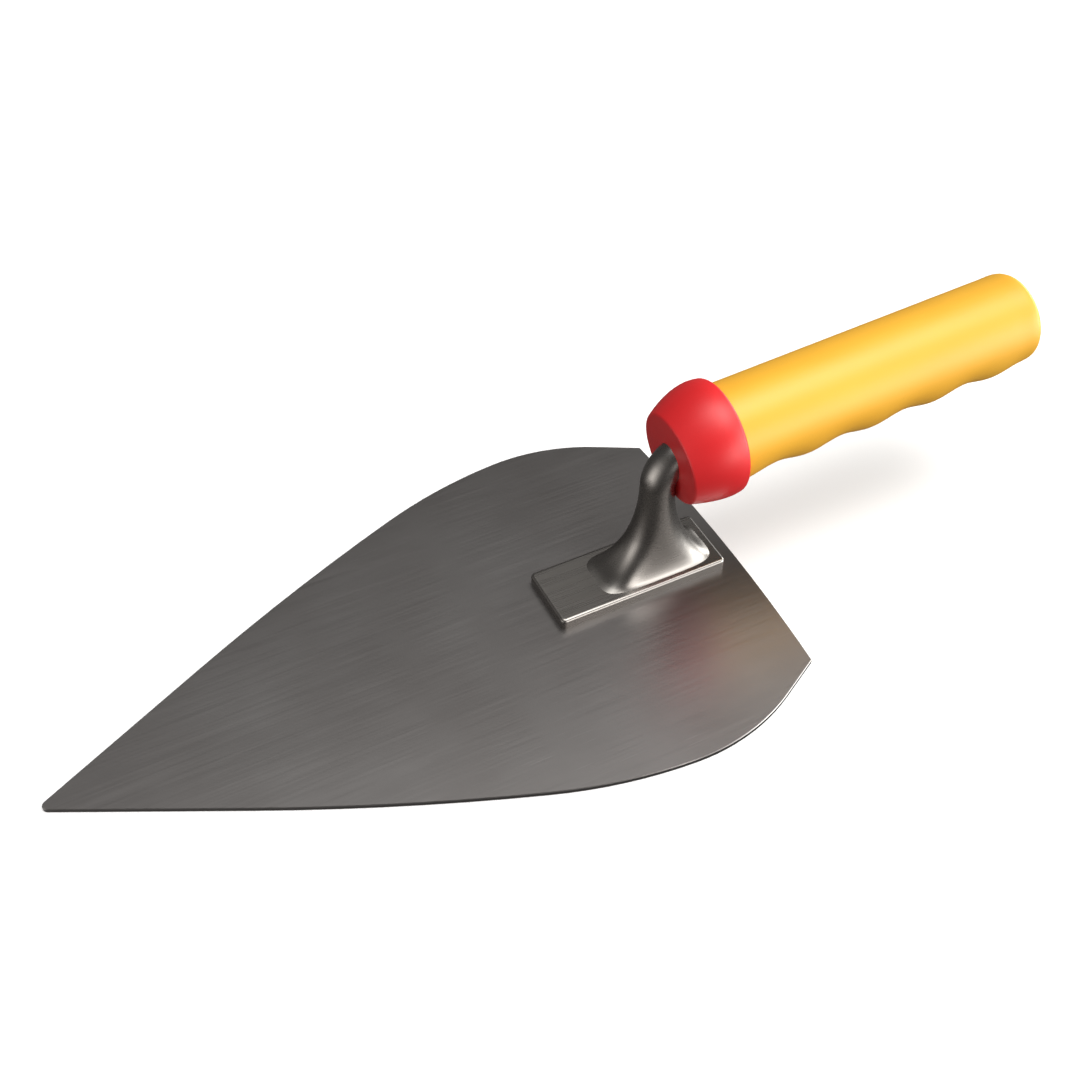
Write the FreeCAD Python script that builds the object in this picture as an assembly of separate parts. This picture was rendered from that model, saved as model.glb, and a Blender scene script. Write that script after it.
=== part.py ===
import FreeCAD, Part
import math
import os

# Brick trowel: a flat steel blade, a one-piece forged tang welded to it, and a moulded handle.
# Millimetres. The toe points to -X, the handle to +X, and +Z is up. The blade's underside, the
# working face, lies on z = 0, and the origin is on it, straight under the upright neck.

V = FreeCAD.Vector
Z_UP = V(0, 0, 1)
Y_AXIS = V(0, 1, 0)
X_AXIS = V(1, 0, 0)

# ---- blade ---------------------------------------------------------------------------------
BLADE_LENGTH = 250.0          # toe to the middle of the heel edge, a 10 inch blade
BLADE_AFT = 30.3              # heel edge behind the neck's axis
BLADE_ASIDE = -3.0            # the tang is welded on this much beside the blade's centreline
BLADE_TOE_THICK = 1.3         # ground thinner towards the toe
BLADE_HEEL_THICK = 1.7
TOE_RADIUS = 2.0
SIDE_ANGLE = 26.15            # each side leaves the toe at this angle to the centreline
SIDE_STRAIGHT = 64.0          # straight stretch behind the toe
SIDE_ARCS = [(860.0, 6.2), (174.0, 16.0), (74.0, 32.5)]   # radius, turn in degrees
HEEL_HALF_WIDTH = 59.2        # heel corner, out from the centreline
HEEL_BOW = 2.5                # the heel edge bulges back by this much at its middle
EDGE_BREAK = 0.25             # the blade's top edge is broken by this much
BEYOND = 20.0                 # cutting shapes reach this far past the blade

# ---- tang: foot, neck and spike in one forging -----------------------------------------------
FOOT_FRONT = -42.3
FOOT_REAR = 23.9
FOOT_HALF_WIDTH = 12.8
FOOT_TOP = 5.9                # above the working face
FOOT_CORNER_R = 1.8           # plan corners
FOOT_EDGE_R = 1.2             # rounded top edge
NECK_RADIUS = 6.1
ELBOW_RADIUS = 12.0           # centreline radius of the bend into the handle
ELBOW_DROP = 0.7              # the bend ends this much below the handle's axis
SHANK_RADIUS = 5.6            # round shank inside the collar
FLARE_HEIGHT = 36.0           # the neck starts to spread this far above the foot
FLARE_FRONT = 26.0            # reach of the flare on the foot, from the neck's axis
FLARE_REAR = 22.2
FLARE_SIDE = 11.3
FLARE_FRONT_HOLLOW = 2.0      # 2 is an elliptical fillet, nearer 1 a fuller web
FLARE_REAR_HOLLOW = 1.6
FLARE_SIDE_HOLLOW = 2.0
FLARE_SECTIONS = 12
FLARE_POINTS = 32
FLARE_SINK = 0.4              # the flare's lowest section lies this far below the foot's top
FLARE_SQUARENESS = 3.0        # at the foot the section is this much squarer than an ellipse
FLARE_SQUARE_FADE = 4.0       # the power with which that fades up the neck
FLARE_SPACING = 2.4           # above 1, the sections lie closer together near the foot
SHANK_OVERLAP = 1.0           # the shank starts this far inside the bend
SPIKE_START_HALF = 4.6        # half the side of the square spike where it leaves the neck
SPIKE_END_HALF = 2.4
SPIKE_START = 20.0            # along the handle, from the collar's front face
SPIKE_END = 104.0
BARB_COUNT = 5
BARB_DEPTH = 0.8
BARB_LENGTH = 5.0
BARB_PITCH = 13.0
BARB_START = 34.0
BARB_MARGIN = 0.5             # the notch tool stands this far outside the spike's face

# ---- spot welds between blade and foot ---------------------------------------------------------
WELD_RADIUS = 3.0
WELD_X = [-31.0, 15.0]
WELD_Y = [-6.5, 6.5]
WELD_INTO_FOOT = 1.2
WELD_DIMPLE = 0.15            # the electrode leaves the underside this much low

# ---- handle: core, collar and grip ---------------------------------------------------------------
HANDLE_TILT = 3.15            # the handle's axis rises to the rear by this angle
COLLAR_FRONT_X = 2.7
COLLAR_FRONT_Z = 55.3
COLLAR_LENGTH = 20.4
COLLAR_FRONT_R = 16.5
COLLAR_MAX_R = 20.8
COLLAR_REAR_R = 20.3
COLLAR_CROWN = 15.5           # widest place, behind the front face
COLLAR_DROP = 2.6             # the front face's centre hangs this much below the axis
COLLAR_DROP_LENGTH = 16.0
COLLAR_FRONT_TILT = 4.0       # the front face leans back at its foot by this many degrees
COLLAR_STATIONS = 9
COLLAR_FRONT_SHAPE = 1.7      # the collar narrows to the front by this power of the distance
COLLAR_REAR_SHAPE = 2.0
COLLAR_FRONT_EDGE_R = 1.2
COLLAR_REAR_EDGE_R = 1.6
GRIP_RADIUS = 17.3
GRIP_END = 143.2              # butt end, from the collar's front face
GRIP_EDGE_R = 2.6             # round between the grip's side and its butt
BUTT_LEAN = 0.07              # the butt's top stands this share of its height further back
BUTT_LEAN_FADE = 10.0
FINGER_PITCH = 26.25
FINGER_CREST = 22.4           # first crest, from the collar's front face
FINGER_DEPTH = 2.0
FINGER_FADE = 0.2             # the finger wave dies out this far above the handle's sides
GRIP_POINTS = 24
WAVE_STATIONS = 6             # sections in each finger pitch
EDGE_STATIONS = 5             # sections round the butt's edge
COLLAR_WALL = 3.2             # the collar's front wall, ahead of the core
SEAT_RADIUS = 14.2            # the core's seat inside the collar
SEAT_END = 17.0               # and the grip's front end
SEAT_STEP = 4.0               # length of the cone from the seat down to the core's body
CORE_RADIUS = 11.0
CORE_END = 135.0
CORE_POINT = 2.0              # length and depth of the core's chamfered end
KEY_COUNT = 4
KEY_WIDTH = 4.0
KEY_HEIGHT = 1.8
KEY_START = 30.0
KEY_END = 126.0
WEB_COUNT = 3                 # ring lands that lock the grip lengthwise
WEB_HEIGHT = 1.8
WEB_WIDTH = 3.0


# ---- helpers ---------------------------------------------------------------------------------
def wire_of(edges):
    return Part.Wire(Part.__sortEdges__(edges))


def face_of(corners):
    """The flat face inside a closed polygon."""
    return Part.Face(Part.makePolygon(corners + [corners[0]]))


def revolved(points):
    """A solid of revolution about X, from a closed outline of (x, radius) points."""
    return face_of([V(x, 0, r) for x, r in points]).revolve(V(0, 0, 0), X_AXIS, 360.0)


def handle_place(shape):
    """Moves a shape built along +X from the collar's front face onto the tilted handle axis."""
    placed = shape.copy()
    placed.rotate(V(0, 0, 0), Y_AXIS, -HANDLE_TILT)
    placed.translate(V(COLLAR_FRONT_X, 0, COLLAR_FRONT_Z))
    return placed


def one_solid(shape):
    """The single solid of a boolean result, with split faces merged."""
    clean = shape.removeSplitter()
    return max(clean.Solids, key=lambda solid: solid.Volume)


# ---- blade -------------------------------------------------------------------------------------
def side_edges(mirror):
    """One side of the blade: half the toe's round, a straight, then arcs that turn steadily in."""
    def at(x, y):
        return V(x, mirror * y, 0)

    toe_x = BLADE_AFT - BLADE_LENGTH
    turn = math.radians(SIDE_ANGLE)
    half = math.radians((90.0 + SIDE_ANGLE) / 2.0)
    x = toe_x + TOE_RADIUS * (1 - math.sin(turn))
    y = TOE_RADIUS * math.cos(turn)
    middle = at(toe_x + TOE_RADIUS * (1 - math.sin(half)), TOE_RADIUS * math.cos(half))
    edges = [Part.Arc(at(toe_x, 0), middle, at(x, y)).toShape()]
    next_x = x + SIDE_STRAIGHT * math.cos(turn)
    next_y = y + SIDE_STRAIGHT * math.sin(turn)
    edges.append(Part.makeLine(at(x, y), at(next_x, next_y)))
    x, y = next_x, next_y
    for radius, degrees in SIDE_ARCS:
        centre_x = x + radius * math.sin(turn)
        centre_y = y - radius * math.cos(turn)
        points = []
        for part in (0.5, 1.0):
            direction = turn - math.radians(degrees) * part
            arc_x = centre_x - radius * math.sin(direction)
            arc_y = centre_y + radius * math.cos(direction)
            points.append(at(arc_x, arc_y))
        edges.append(Part.Arc(at(x, y), points[0], points[1]).toShape())
        turn -= math.radians(degrees)
        x = points[1].x
        y = mirror * points[1].y
    corner = at(x + (HEEL_HALF_WIDTH - y) / math.tan(turn), HEEL_HALF_WIDTH)
    edges.append(Part.makeLine(at(x, y), corner))
    return edges, corner


def blade_outline():
    left, left_corner = side_edges(1)
    right, right_corner = side_edges(-1)
    heel = Part.Arc(left_corner, V(left_corner.x + HEEL_BOW, 0, 0), right_corner).toShape()
    return wire_of(left + right + [heel])


def blade_top(x):
    """Height of the ground upper face above the working face."""
    slope = (BLADE_HEEL_THICK - BLADE_TOE_THICK) / BLADE_LENGTH
    return BLADE_HEEL_THICK + slope * (x - BLADE_AFT)


def below_upper_face():
    """Everything below the blade's slightly sloping upper face."""
    start = BLADE_AFT - BLADE_LENGTH - BEYOND
    end = BLADE_AFT + BEYOND
    side = HEEL_HALF_WIDTH + 2 * BEYOND
    outline = [V(start, -side, blade_top(start)), V(end, -side, blade_top(end)),
               V(end, -side, -BEYOND), V(start, -side, -BEYOND)]
    return face_of(outline).extrude(V(0, 2 * side, 0))


def blade(welds):
    plate = Part.Face(blade_outline()).extrude(Z_UP * (BLADE_HEEL_THICK + 1))
    plate.translate(Y_AXIS * BLADE_ASIDE)
    plate = one_solid(plate.common(below_upper_face()))
    rim = [edge for edge in plate.Edges if edge.BoundBox.ZMin > BLADE_TOE_THICK / 2]
    plate = plate.makeChamfer(EDGE_BREAK, rim)
    for spot in welds:
        middle = spot.CenterOfMass
        plate = plate.cut(spot)
        plate = plate.cut(Part.makeCylinder(WELD_RADIUS, WELD_DIMPLE, V(middle.x, middle.y, 0)))
    return one_solid(plate)


# ---- spot welds ----------------------------------------------------------------------------------
def spot_welds():
    spots = []
    for x in WELD_X:
        for y in WELD_Y:
            height = blade_top(x) + WELD_INTO_FOOT - WELD_DIMPLE
            spots.append(Part.makeCylinder(WELD_RADIUS, height, V(x, y, WELD_DIMPLE)))
    return spots


# ---- tang ------------------------------------------------------------------------------------------
def foot():
    plate = Part.makeBox(FOOT_REAR - FOOT_FRONT, 2 * FOOT_HALF_WIDTH, FOOT_TOP,
                         V(FOOT_FRONT, -FOOT_HALF_WIDTH, 0))
    upright = [edge for edge in plate.Edges if edge.BoundBox.ZLength > FOOT_TOP / 2]
    plate = plate.makeFillet(FOOT_CORNER_R, upright)
    top = [edge for edge in plate.Edges if edge.BoundBox.ZMin > FOOT_TOP / 2]
    return plate.makeFillet(FOOT_EDGE_R, top)


def flare_reach(level, base, hollow):
    """How far the flare stands out from the neck's axis: a superellipse fillet."""
    inset = (1 - (1 - level) ** hollow) ** (1 / hollow)
    return base - (base - NECK_RADIUS) * inset


def flare_section(level):
    """Closed outline of the neck's flare: level 0 is on the foot, level 1 is the round neck."""
    squareness = 2 + FLARE_SQUARENESS * (1 - level) ** FLARE_SQUARE_FADE
    base = FOOT_TOP - FLARE_SINK + level * FLARE_HEIGHT
    front = flare_reach(level, FLARE_FRONT, FLARE_FRONT_HOLLOW)
    rear = flare_reach(level, FLARE_REAR, FLARE_REAR_HOLLOW)
    side = flare_reach(level, FLARE_SIDE, FLARE_SIDE_HOLLOW)
    points = []
    for step in range(FLARE_POINTS):
        angle = 2 * math.pi * step / FLARE_POINTS
        along = rear if math.cos(angle) > 0 else front
        x = along * math.copysign(abs(math.cos(angle)) ** (2 / squareness), math.cos(angle))
        y = side * math.copysign(abs(math.sin(angle)) ** (2 / squareness), math.sin(angle))
        points.append(V(x, y, base))
    curve = Part.BSplineCurve()
    curve.interpolate(Points=points, PeriodicFlag=True)
    return Part.Wire(curve.toShape())


def flare():
    sections = []
    for step in range(FLARE_SECTIONS):
        sections.append(flare_section((step / (FLARE_SECTIONS - 1)) ** FLARE_SPACING))
    return Part.makeLoft(sections, True, False)


def neck():
    """The round upright and its bend onto the handle's axis. Returns both solids and the bend's end."""
    sweep = 90.0 - HANDLE_TILT
    sweep_angle = math.radians(sweep)
    end_x = ELBOW_RADIUS * (1 - math.cos(sweep_angle))
    axis_z = COLLAR_FRONT_Z + (end_x - COLLAR_FRONT_X) * math.tan(math.radians(HANDLE_TILT))
    end_z = axis_z - ELBOW_DROP
    bend_z = end_z - ELBOW_RADIUS * math.sin(sweep_angle)
    disc = Part.Face(flare_section(1.0))
    upright = disc.extrude(Z_UP * (bend_z - disc.CenterOfMass.z))
    disc.translate(Z_UP * (bend_z - disc.CenterOfMass.z))
    elbow = disc.revolve(V(ELBOW_RADIUS, 0, bend_z), Y_AXIS, sweep)
    return [upright, elbow], end_x


def square_section(half, x):
    corners = [V(x, -half, -half), V(x, half, -half), V(x, half, half), V(x, -half, half)]
    return Part.makePolygon(corners + [corners[0]])


def spike(neck_end):
    """The shank along the handle: round at the neck, then a tapering square with barbs."""
    start = (neck_end - COLLAR_FRONT_X) / math.cos(math.radians(HANDLE_TILT)) - SHANK_OVERLAP
    shank = Part.makeCylinder(SHANK_RADIUS, SPIKE_START - start, V(start, 0, 0), X_AXIS)
    ends = [square_section(SPIKE_START_HALF, SPIKE_START), square_section(SPIKE_END_HALF, SPIKE_END)]
    taper = Part.makeLoft(ends, True, True)
    slope = (SPIKE_END_HALF - SPIKE_START_HALF) / (SPIKE_END - SPIKE_START)
    for index in range(BARB_COUNT):
        tip = BARB_START + index * BARB_PITCH
        half = SPIKE_START_HALF + slope * (tip - SPIKE_START)
        across = -2 * half
        outside = half + BARB_MARGIN
        notch = [V(tip, across, outside), V(tip, across, half - BARB_DEPTH),
                 V(tip + BARB_LENGTH, across, outside)]
        tool = face_of(notch).extrude(V(0, -2 * across, 0))
        for turn in (0, 90, 180, 270):
            turned = tool.copy()
            turned.rotate(V(0, 0, 0), X_AXIS, turn)
            taper = taper.cut(turned)
    return handle_place(shank.fuse(taper))


def tang(welds):
    neck_solids, neck_end = neck()
    body = foot().fuse([flare()] + neck_solids + [spike(neck_end)])
    body = body.cut(below_upper_face())
    for spot in welds:
        body = body.cut(spot)
    return one_solid(body)


# ---- handle --------------------------------------------------------------------------------------
def core_blank():
    """The hard core: a seat for the collar, a long body with ring lands and keys, before the bore."""
    body = revolved([(COLLAR_WALL, 0), (COLLAR_WALL, SEAT_RADIUS), (SEAT_END, SEAT_RADIUS),
                     (SEAT_END + SEAT_STEP, CORE_RADIUS), (CORE_END - CORE_POINT, CORE_RADIUS),
                     (CORE_END, CORE_RADIUS - CORE_POINT), (CORE_END, 0)])
    for index in range(KEY_COUNT):
        key = Part.makeBox(KEY_END - KEY_START, KEY_WIDTH, KEY_HEIGHT + CORE_RADIUS,
                           V(KEY_START, -KEY_WIDTH / 2, 0))
        key.rotate(V(0, 0, 0), X_AXIS, 45 + 360.0 * index / KEY_COUNT)
        body = body.fuse(key)
    spacing = (KEY_END - KEY_START) / (WEB_COUNT + 1)
    for index in range(WEB_COUNT):
        land_start = KEY_START + spacing * (index + 1) - WEB_WIDTH / 2
        land = Part.makeCylinder(CORE_RADIUS + WEB_HEIGHT, WEB_WIDTH, V(land_start, 0, 0), X_AXIS)
        body = body.fuse(land)
    return one_solid(body)


def handle_core(tang_solid):
    return one_solid(handle_place(core_blank()).cut(tang_solid))


def collar_ring(station):
    """One round section of the collar, whose centre hangs lower towards the front."""
    if station < COLLAR_CROWN:
        narrowing = ((COLLAR_CROWN - station) / COLLAR_CROWN) ** COLLAR_FRONT_SHAPE
        radius = COLLAR_MAX_R - (COLLAR_MAX_R - COLLAR_FRONT_R) * narrowing
    else:
        narrowing = ((station - COLLAR_CROWN) / (COLLAR_LENGTH - COLLAR_CROWN)) ** COLLAR_REAR_SHAPE
        radius = COLLAR_MAX_R - (COLLAR_MAX_R - COLLAR_REAR_R) * narrowing
    fade = max(0.0, 1 - station / COLLAR_DROP_LENGTH) ** 2
    tilt = math.radians(COLLAR_FRONT_TILT * fade)
    centre = V(station + radius * math.sin(tilt), 0, -COLLAR_DROP * fade)
    return Part.Wire(Part.makeCircle(radius, centre, V(math.cos(tilt), 0, math.sin(tilt))))


def collar_blank():
    """The collar before it is hollowed for the core, the grip's front end and the tang."""
    spacing = COLLAR_LENGTH / (COLLAR_STATIONS - 1)
    rings = [collar_ring(spacing * index) for index in range(COLLAR_STATIONS)]
    body = Part.makeLoft(rings, True, False)
    front = [edge for edge in body.Edges if edge.BoundBox.XMax < COLLAR_LENGTH / 4]
    body = body.makeFillet(COLLAR_FRONT_EDGE_R, front)
    rear = [edge for edge in body.Edges if edge.BoundBox.XMin > COLLAR_LENGTH * 0.99]
    return body.makeFillet(COLLAR_REAR_EDGE_R, rear)


def finger_depth(station):
    """How deep the finger wave is on the underside, zero at each crest."""
    phase = 2 * math.pi * (station - FINGER_CREST) / FINGER_PITCH
    return FINGER_DEPTH * (1 - math.cos(phase)) / 2


def grip_ring(station, radius):
    """One section of the grip: round above, and let in by the finger wave below."""
    points = []
    for step in range(GRIP_POINTS):
        angle = 2 * math.pi * step / GRIP_POINTS
        blend = max(0.0, (FINGER_FADE - math.sin(angle)) / (1 + FINGER_FADE))
        reach = radius - finger_depth(station) * blend * blend * (3 - 2 * blend)
        lean = BUTT_LEAN * (station / GRIP_END) ** BUTT_LEAN_FADE
        height = reach * math.sin(angle)
        points.append(V(station + lean * height, reach * math.cos(angle), height))
    curve = Part.BSplineCurve()
    curve.interpolate(Points=points, PeriodicFlag=True)
    return Part.Wire(curve.toShape())


def grip_blank():
    """The outer grip with a rounded butt and a finger wave along its underside."""
    straight_end = GRIP_END - GRIP_EDGE_R
    count = round((straight_end - SEAT_END) / FINGER_PITCH * WAVE_STATIONS)
    rings = []
    for index in range(count + 1):
        rings.append(grip_ring(SEAT_END + (straight_end - SEAT_END) * index / count, GRIP_RADIUS))
    for index in range(1, EDGE_STATIONS + 1):
        angle = math.pi / 2 * index / EDGE_STATIONS
        inset = GRIP_EDGE_R * (1 - math.cos(angle))
        rings.append(grip_ring(straight_end + GRIP_EDGE_R * math.sin(angle), GRIP_RADIUS - inset))
    return Part.makeLoft(rings, True, False)


def export(name, shape):
    shape.exportStep("parts/" + name + ".step")
    print(name, len(shape.Solids), round(shape.Volume / 1000.0, 2), shape.isValid())


def main():
    os.makedirs("parts", exist_ok=True)
    welds = spot_welds()
    tang_solid = tang(welds)
    core = handle_core(tang_solid)
    core_tool = handle_place(core_blank())
    grip = one_solid(handle_place(grip_blank()).cut(core_tool))
    collar = handle_place(collar_blank()).cut(core_tool)
    collar = one_solid(collar.cut(handle_place(grip_blank())).cut(tang_solid))
    export("blade", blade(welds))
    export("tang", tang_solid)
    export("spot_welds", Part.makeCompound(welds))
    export("handle_core", core)
    export("collar", collar)
    export("grip", grip)


main()
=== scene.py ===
import math
import bpy
from mathutils import Matrix, Vector


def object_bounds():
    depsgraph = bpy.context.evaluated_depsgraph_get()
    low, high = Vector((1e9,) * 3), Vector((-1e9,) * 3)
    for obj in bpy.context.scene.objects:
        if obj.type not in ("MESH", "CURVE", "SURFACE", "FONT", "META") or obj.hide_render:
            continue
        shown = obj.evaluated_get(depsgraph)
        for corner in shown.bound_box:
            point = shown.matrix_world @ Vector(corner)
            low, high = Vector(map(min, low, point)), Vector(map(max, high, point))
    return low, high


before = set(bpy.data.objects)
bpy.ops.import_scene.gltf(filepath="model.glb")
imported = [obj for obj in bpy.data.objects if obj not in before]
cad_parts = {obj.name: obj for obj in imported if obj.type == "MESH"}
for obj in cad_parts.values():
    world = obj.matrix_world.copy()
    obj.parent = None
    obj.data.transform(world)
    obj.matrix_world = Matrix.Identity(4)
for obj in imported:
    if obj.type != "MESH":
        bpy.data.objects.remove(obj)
CAD_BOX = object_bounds()

# Metres, in the frame of the CAD model: toe to -X, handle to +X, +Z up, the blade's underside on
# z = 0 and the neck's axis on x = 0, y = 0.

HANDLE_TILT = math.radians(3.15)     # the handle's axis rises to the rear by this angle

# ---- camera: the photograph's viewing angle ------------------------------------------------------
CAMERA_AZIMUTH = -27.14              # degrees; 0 looks along +Y
CAMERA_ELEVATION = 46.75
CAMERA_ROLL = 0.44
CAMERA_DISTANCE = 0.5107             # to the aim, on the floor
CAMERA_LENS = 46.05                  # mm, on a sensor 36 mm wide
CAMERA_CLIP_START = 0.01
AIM_BEHIND_TOE = 0.1906              # the aim, from the toe towards the handle
AIM_ASIDE = 0.0306                   # and from the tang's plane towards +Y

# ---- studio ----------------------------------------------------------------------------------------
# Soft round patches of light: elevation, azimuth from +X towards +Y and angular radius, all in
# degrees, then strength and colour. The last one lies just below the horizon.
WHITE = (1.0, 1.0, 0.98)
WARM = (1.0, 0.97, 0.94)
SOFTBOXES = [
    (90, 0, 18, 4.0, WHITE),
    (65, -10, 16, 5.0, WHITE),
    (65, -60, 14, 3.0, WARM),
    (8, 12, 14, 9.5, WHITE),
    (8, -35, 20, 8.0, WHITE),
    (8, -75, 14, 5.0, WARM),
    (-5, 185, 25, 1.8, WARM),
]
SKY = (0.100, 0.096, 0.094)          # between the patches
BACKDROP = (1.0, 1.0, 1.0, 1.0)      # what the camera sees past the floor's edge
FLOOR_SIZE = 16.0
FLOOR_GAP = 0.0002                   # the floor lies this far below the blade's underside
FLOOR_COLOUR = (0.92, 0.92, 0.92, 1.0)
FLOOR_GLOW = 0.22

# ---- surface patterns: scales are in cycles per metre, depths and radii in metres --------------------
CLOUD_SCALE = 16.0                   # slow changes of tone over the steel
CLOUD_ROUGHNESS = 0.012
WAVE_SCALE = 90.0                    # shallow waves left by grinding or forging
FINE_SCALE = 2200.0                  # the steel's finest grain
FINE_DEPTH = 0.0000012
GRIND_SCALE = 2600.0                 # grind lines, across their own direction
GRIND_STRETCH = 0.012                # and along it, as a share of that
GRIND_ROUGHNESS = 0.025
WORN_BRIGHTENING = 1.5               # worn steel is this much brighter than its light tone
WORN_SHARE = 0.5
SCRATCH_SHARE = 0.25
MARK_SMOOTHING = 0.1                 # wear and scratches are less rough by this
STEEL_SCRATCH_DEPTH = 0.000004
STEEL_EDGE_RADIUS = 0.0007
SCRATCH_SCALE = 1500.0
SCRATCH_STRETCH = 0.03
SCRATCH_CUT = (0.70, 0.74)           # the part of the noise that becomes a scratch
SCRATCH_PATCH_SCALE = 45.0           # scratches gather in patches
SCRATCH_PATCH_CUT = (0.50, 0.62)
EDGE_CUT = (0.80, 0.99)              # cosine between the rounded and the true normal
BEVEL_SAMPLES = 4
HEAT_SCALE = 420.0                   # heat tints on the welds
CRUST_SCALE = 1800.0
CRUST_DEPTH = 0.00003
FLOW_SCALE = 34.0                    # flow clouds along the moulded plastic
FLOW_STRETCH = 0.35
FLOW_ROUGHNESS = 0.02
GRAIN_SCALE = 2300.0                 # the mould's spark-eroded grain
GRAIN_SMOOTHER = 0.03
GRAIN_ROUGHER = 0.04
GRIME_SHARE = 0.12
GRIME_CUT = (0.30, 0.45)             # grime lies in the grain's low places
SINK_SCALE = 60.0                    # soft unevenness of the moulding
SINK_DEPTH = 0.00003
PLASTIC_WORN_SHARE = 0.25
SCUFF_SHARE = 0.2
SCUFF_DEPTH = 0.000006
PLASTIC_EDGE_RADIUS = 0.0009
PLASTIC_IOR = 1.5


# ---- node helpers ----------------------------------------------------------------------------------
def add(tree, kind, settings=None, **links):
    """A shader node of this kind: settings are constants by input, links join outputs to inputs."""
    node = tree.nodes.new("ShaderNode" + kind)
    for key, value in (settings or {}).items():
        node.inputs[key].default_value = value
    for key, source in links.items():
        tree.links.new(source, node.inputs[key])
    return node


def feed(tree, socket, value):
    """Links another node's output to a socket, or sets the socket to a constant."""
    if isinstance(value, bpy.types.NodeSocket):
        tree.links.new(value, socket)
    else:
        socket.default_value = value


def calculate(tree, operation, *values):
    """A Math node on numbers or other nodes' outputs."""
    node = tree.nodes.new("ShaderNodeMath")
    node.operation = operation
    for socket, value in zip(node.inputs, values):
        feed(tree, socket, value)
    return node.outputs[0]


def vector_math(tree, operation, *values):
    """A Vector Math node on constant vectors or other nodes' outputs. Returns its outputs."""
    node = tree.nodes.new("ShaderNodeVectorMath")
    node.operation = operation
    for socket, value in zip(node.inputs, values):
        feed(tree, socket, value)
    return node.outputs


def new_material(name):
    """A material whose tree holds only its output and one Principled shader."""
    material = bpy.data.materials.new(name)
    material.use_nodes = True
    tree = material.node_tree
    tree.nodes.clear()
    shader = add(tree, "BsdfPrincipled")
    add(tree, "OutputMaterial", Surface=shader.outputs["BSDF"])
    return material, tree, shader


def where(tree, scale=(1.0, 1.0, 1.0), turn=(0.0, 0.0, 0.0)):
    """The part's own coordinates in metres, turned, and stretched for a directional pattern."""
    own = add(tree, "TexCoord").outputs["Object"]
    return add(tree, "Mapping", {"Scale": scale, "Rotation": turn}, Vector=own).outputs["Vector"]


def noise(tree, place, scale, detail=3.0, roughness=0.5):
    settings = {"Scale": scale, "Detail": detail, "Roughness": roughness}
    return add(tree, "TexNoise", settings, Vector=place).outputs["Fac"]


def spread(tree, value, low, high, start=0.3, end=0.7):
    """Maps value from start..end to low..high, held at both ends."""
    settings = {"From Min": start, "From Max": end, "To Min": low, "To Max": high}
    return add(tree, "MapRange", settings, Value=value).outputs["Result"]


def blend(tree, factor, first, second):
    """Mixes two colours, each a tuple or another node's output."""
    node = tree.nodes.new("ShaderNodeMix")
    node.data_type = "RGBA"
    for index, value in ((0, factor), (6, first), (7, second)):   # 6 and 7 are its colour sockets
        feed(tree, node.inputs[index], value)
    return node.outputs[2]                                        # and 2 is its colour output


def bump(tree, height, depth, below=None):
    """Relief of this depth in metres, on top of an earlier normal."""
    node = add(tree, "Bump", {"Strength": 1.0, "Distance": depth}, Height=height)
    if below is not None:
        tree.links.new(below, node.inputs["Normal"])
    return node.outputs["Normal"]


def edges(tree, radius):
    """1 along edges within this radius and 0 on open surfaces."""
    rounded = add(tree, "Bevel", {"Radius": radius})
    rounded.samples = BEVEL_SAMPLES
    true_normal = add(tree, "NewGeometry").outputs["Normal"]
    cosine = vector_math(tree, "DOT_PRODUCT", rounded.outputs[0], true_normal)["Value"]
    return spread(tree, cosine, 1.0, 0.0, *EDGE_CUT)


def scratches(tree, turn, density):
    """Sparse hairline scratches, about parallel."""
    along = where(tree, (SCRATCH_STRETCH, 1.0, 1.0), (0.0, 0.0, turn))
    thin = spread(tree, noise(tree, along, SCRATCH_SCALE, 1.0), 0.0, 1.0, *SCRATCH_CUT)
    patch = noise(tree, where(tree), SCRATCH_PATCH_SCALE, 1.0)
    return calculate(tree, "MULTIPLY", thin, spread(tree, patch, 0.0, density, *SCRATCH_PATCH_CUT))


# ---- materials ---------------------------------------------------------------------------------------
def share(tree, value, part):
    return calculate(tree, "MULTIPLY", value, part)


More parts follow.
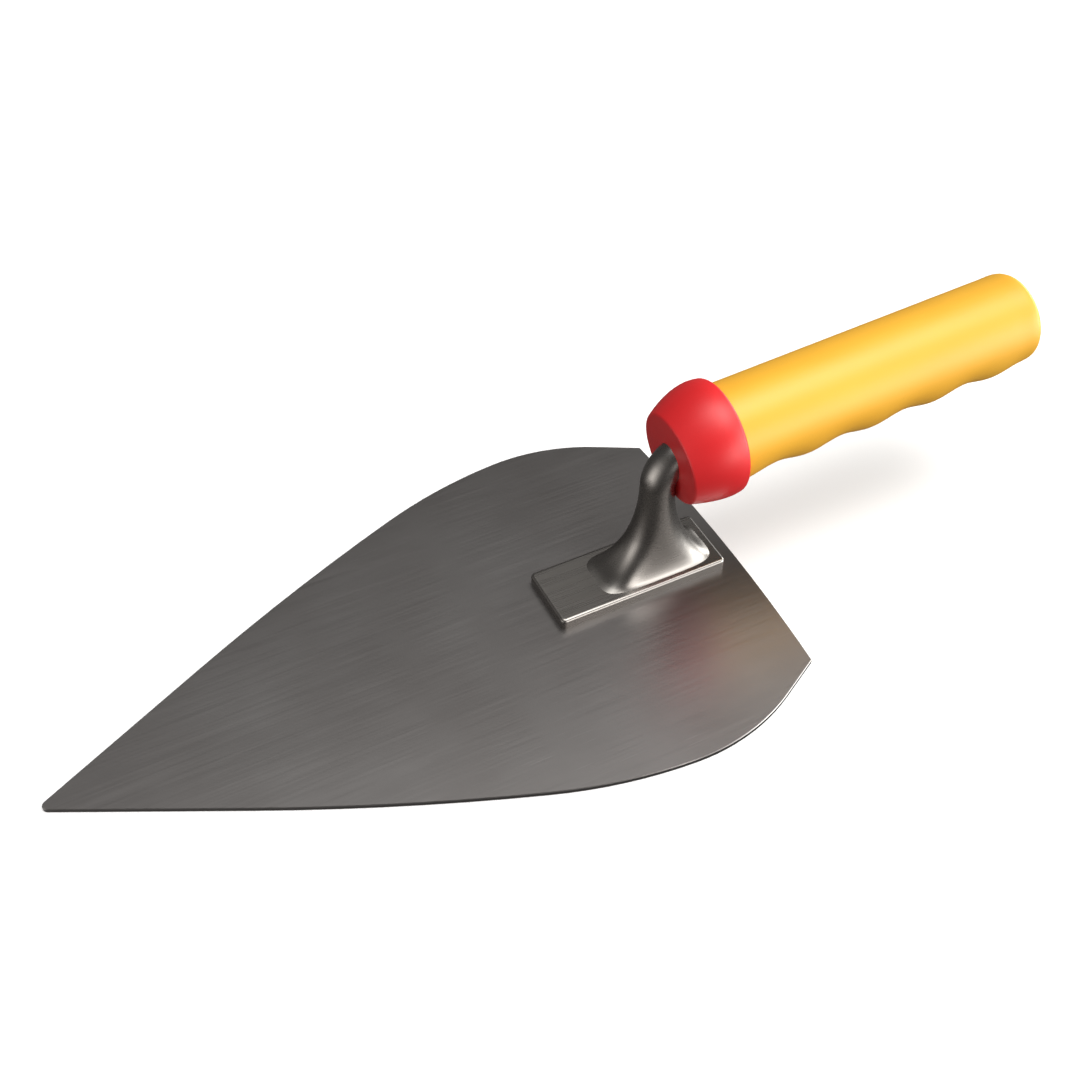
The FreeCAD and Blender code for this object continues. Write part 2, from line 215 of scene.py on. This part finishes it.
def steel(name, dark, light, gloss, grind_turn, grind_depth, wave_depth):
    """Satin steel: clouds in its tone, fine grind lines, hairline scratches and bright worn edges."""
    material, tree, shader = new_material(name)
    cloud = noise(tree, where(tree), CLOUD_SCALE, 4.0)
    wave = noise(tree, where(tree), WAVE_SCALE, 2.0)
    fine = noise(tree, where(tree), FINE_SCALE, 3.0)
    along = where(tree, (GRIND_STRETCH, 1.0, 1.0), (0.0, 0.0, grind_turn))
    grind = noise(tree, along, GRIND_SCALE, 1.0)
    hair = calculate(tree, "MAXIMUM", scratches(tree, 0.35, 0.8), scratches(tree, -1.2, 0.5))
    worn = share(tree, edges(tree, STEEL_EDGE_RADIUS), spread(tree, wave, 0.3, 1.0))
    marks = calculate(tree, "MAXIMUM", share(tree, worn, WORN_SHARE), share(tree, hair, SCRATCH_SHARE))
    tone = blend(tree, spread(tree, cloud, 0.0, 1.0), dark, light)
    bright = tuple(min(1.0, WORN_BRIGHTENING * part) for part in light[:3]) + (1.0,)
    feed(tree, shader.inputs["Base Color"], blend(tree, marks, tone, bright))
    shader.inputs["Metallic"].default_value = 1.0
    rough = calculate(tree, "ADD", spread(tree, grind, gloss - GRIND_ROUGHNESS, gloss + GRIND_ROUGHNESS),
                      spread(tree, cloud, -CLOUD_ROUGHNESS, CLOUD_ROUGHNESS))
    rough = calculate(tree, "SUBTRACT", rough, share(tree, marks, MARK_SMOOTHING))
    feed(tree, shader.inputs["Roughness"], rough)
    normal = bump(tree, wave, wave_depth)
    normal = bump(tree, grind, grind_depth, normal)
    normal = bump(tree, fine, FINE_DEPTH, normal)
    feed(tree, shader.inputs["Normal"], bump(tree, hair, -STEEL_SCRATCH_DEPTH, normal))
    return material


def weld_steel(name, dark, light):
    """The fused spots under the blade: browned by the heat, and rougher than the plate."""
    material, tree, shader = new_material(name)
    heat = noise(tree, where(tree), HEAT_SCALE, 2.0)
    crust = noise(tree, where(tree), CRUST_SCALE, 4.0)
    feed(tree, shader.inputs["Base Color"], blend(tree, spread(tree, heat, 0.0, 1.0), dark, light))
    shader.inputs["Metallic"].default_value = 1.0
    feed(tree, shader.inputs["Roughness"], spread(tree, crust, 0.42, 0.6))
    feed(tree, shader.inputs["Normal"], bump(tree, crust, CRUST_DEPTH))
    return material


def plastic(name, dark, light, dusty, gloss, grain_depth):
    """Moulded satin plastic: spark-eroded grain, flow clouds, scuffs and a little grime in the grain."""
    material, tree, shader = new_material(name)
    flow = noise(tree, where(tree, (FLOW_STRETCH, 1.0, 1.0), (0.0, HANDLE_TILT, 0.0)), FLOW_SCALE)
    grain = noise(tree, where(tree), GRAIN_SCALE)
    sink = noise(tree, where(tree), SINK_SCALE, 1.0)
    scuff = scratches(tree, 0.6, 0.6)
    worn = share(tree, edges(tree, PLASTIC_EDGE_RADIUS), spread(tree, sink, 0.2, 0.8))
    marks = calculate(tree, "MAXIMUM", share(tree, worn, PLASTIC_WORN_SHARE),
                      share(tree, scuff, SCUFF_SHARE))
    tone = blend(tree, spread(tree, flow, 0.0, 1.0), dark, light)
    tone = blend(tree, spread(tree, grain, GRIME_SHARE, 0.0, *GRIME_CUT), tone, dusty)
    feed(tree, shader.inputs["Base Color"], blend(tree, marks, tone, light))
    rough = calculate(tree, "ADD", spread(tree, grain, gloss - GRAIN_SMOOTHER, gloss + GRAIN_ROUGHER),
                      spread(tree, flow, -FLOW_ROUGHNESS, FLOW_ROUGHNESS))
    feed(tree, shader.inputs["Roughness"], rough)
    shader.inputs["IOR"].default_value = PLASTIC_IOR
    normal = bump(tree, sink, SINK_DEPTH)
    normal = bump(tree, grain, grain_depth, normal)
    feed(tree, shader.inputs["Normal"], bump(tree, scuff, -SCUFF_DEPTH, normal))
    return material


def floor_material():
    material, tree, shader = new_material("floor")
    shader.inputs["Base Color"].default_value = FLOOR_COLOUR
    shader.inputs["Roughness"].default_value = 1.0
    shader.inputs["Specular IOR Level"].default_value = 0.0
    shader.inputs["Emission Color"].default_value = FLOOR_COLOUR
    shader.inputs["Emission Strength"].default_value = FLOOR_GLOW
    return material


# ---- parts ---------------------------------------------------------------------------------------------
def dress(name, material):
    """Gives a CAD body its material. The body itself stays as it is."""
    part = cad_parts[name]
    part.data.materials.clear()
    part.data.materials.append(material)


# ---- camera, floor and light ---------------------------------------------------------------------------
def make_camera():
    data = bpy.data.cameras.new("camera")
    data.lens = CAMERA_LENS
    data.clip_start = CAMERA_CLIP_START
    camera = bpy.data.objects.new("camera", data)
    bpy.context.scene.collection.objects.link(camera)
    turn = (Matrix.Rotation(math.radians(CAMERA_AZIMUTH), 3, "Z")
            @ Matrix.Rotation(math.radians(90.0 - CAMERA_ELEVATION), 3, "X")
            @ Matrix.Rotation(math.radians(CAMERA_ROLL), 3, "Z"))
    aim = Vector((CAD_BOX[0].x + AIM_BEHIND_TOE, AIM_ASIDE, CAD_BOX[0].z))
    eye = aim + turn @ Vector((0.0, 0.0, CAMERA_DISTANCE))
    camera.matrix_world = Matrix.Translation(eye) @ turn.to_4x4()
    bpy.context.scene.camera = camera


def make_floor():
    half = FLOOR_SIZE / 2
    level = CAD_BOX[0].z - FLOOR_GAP
    corners = [(-half, -half, level), (half, -half, level), (half, half, level), (-half, half, level)]
    mesh = bpy.data.meshes.new("floor")
    mesh.from_pydata(corners, [], [(0, 1, 2, 3)])
    mesh.materials.append(floor_material())
    floor = bpy.data.objects.new("floor", mesh)
    bpy.context.scene.collection.objects.link(floor)
    floor.visible_glossy = False
    floor.visible_diffuse = False


def sky_patch(tree, direction, elevation, azimuth, radius, strength, colour):
    """One soft round patch of light, fading from its middle like a bell curve."""
    rise = math.radians(elevation)
    turn = math.radians(azimuth)
    middle = (math.cos(rise) * math.cos(turn), math.cos(rise) * math.sin(turn), math.sin(rise))
    cosine = vector_math(tree, "DOT_PRODUCT", direction, middle)["Value"]
    away = calculate(tree, "SUBTRACT", cosine, 1.0)
    fade = calculate(tree, "MULTIPLY", away, 1.0 / (1.0 - math.cos(math.radians(radius))))
    patch = tree.nodes.new("ShaderNodeVectorMath")
    patch.operation = "SCALE"
    patch.inputs[0].default_value = [strength * part for part in colour]
    tree.links.new(calculate(tree, "EXPONENT", fade), patch.inputs["Scale"])
    return patch.outputs[0]


def make_studio():
    """Soft patches of light all round, and a plain backdrop where the camera looks past the floor."""
    world = bpy.data.worlds.new("studio")
    world.use_nodes = True
    bpy.context.scene.world = world
    tree = world.node_tree
    tree.nodes.clear()
    direction = vector_math(tree, "NORMALIZE", add(tree, "TexCoord").outputs["Generated"])[0]
    total = SKY
    for softbox in SOFTBOXES:
        total = vector_math(tree, "ADD", sky_patch(tree, direction, *softbox), total)[0]
    light = add(tree, "Background", Color=total)
    backdrop = add(tree, "Background", {"Color": BACKDROP})
    choice = tree.nodes.new("ShaderNodeMixShader")
    camera_ray = add(tree, "LightPath").outputs["Is Camera Ray"]
    for socket, source in zip(choice.inputs, (camera_ray, light.outputs[0], backdrop.outputs[0])):
        tree.links.new(source, socket)
    add(tree, "OutputWorld", Surface=choice.outputs[0])


BLADE_STEEL = steel("blade_steel", (0.272, 0.256, 0.250, 1.0), (0.300, 0.288, 0.284, 1.0), 0.33,
                    0.0, 0.0000016, 0.0000025)
TANG_STEEL = steel("forged_steel", (0.300, 0.283, 0.265, 1.0), (0.350, 0.333, 0.315, 1.0), 0.29,
                   1.57, 0.0000012, 0.000012)
WELD_STEEL = weld_steel("weld_steel", (0.12, 0.10, 0.09, 1.0), (0.22, 0.20, 0.22, 1.0))
CORE = plastic("core_plastic", (0.020, 0.020, 0.021, 1.0), (0.030, 0.030, 0.032, 1.0),
               (0.08, 0.075, 0.07, 1.0), 0.45, 0.00001)
RED = plastic("red_plastic", (0.72, 0.020, 0.024, 1.0), (0.82, 0.026, 0.030, 1.0),
              (0.45, 0.03, 0.03, 1.0), 0.36, 0.000008)
YELLOW = plastic("yellow_plastic", (0.90, 0.45, 0.036, 1.0), (0.97, 0.51, 0.045, 1.0),
                 (0.62, 0.36, 0.07, 1.0), 0.36, 0.000008)
dress("blade", BLADE_STEEL)
dress("tang", TANG_STEEL)
dress("spot_welds", WELD_STEEL)
dress("handle_core", CORE)
dress("collar", RED)
dress("grip", YELLOW)
make_camera()
make_floor()
make_studio()
bpy.context.scene.view_settings.view_transform = "Standard"
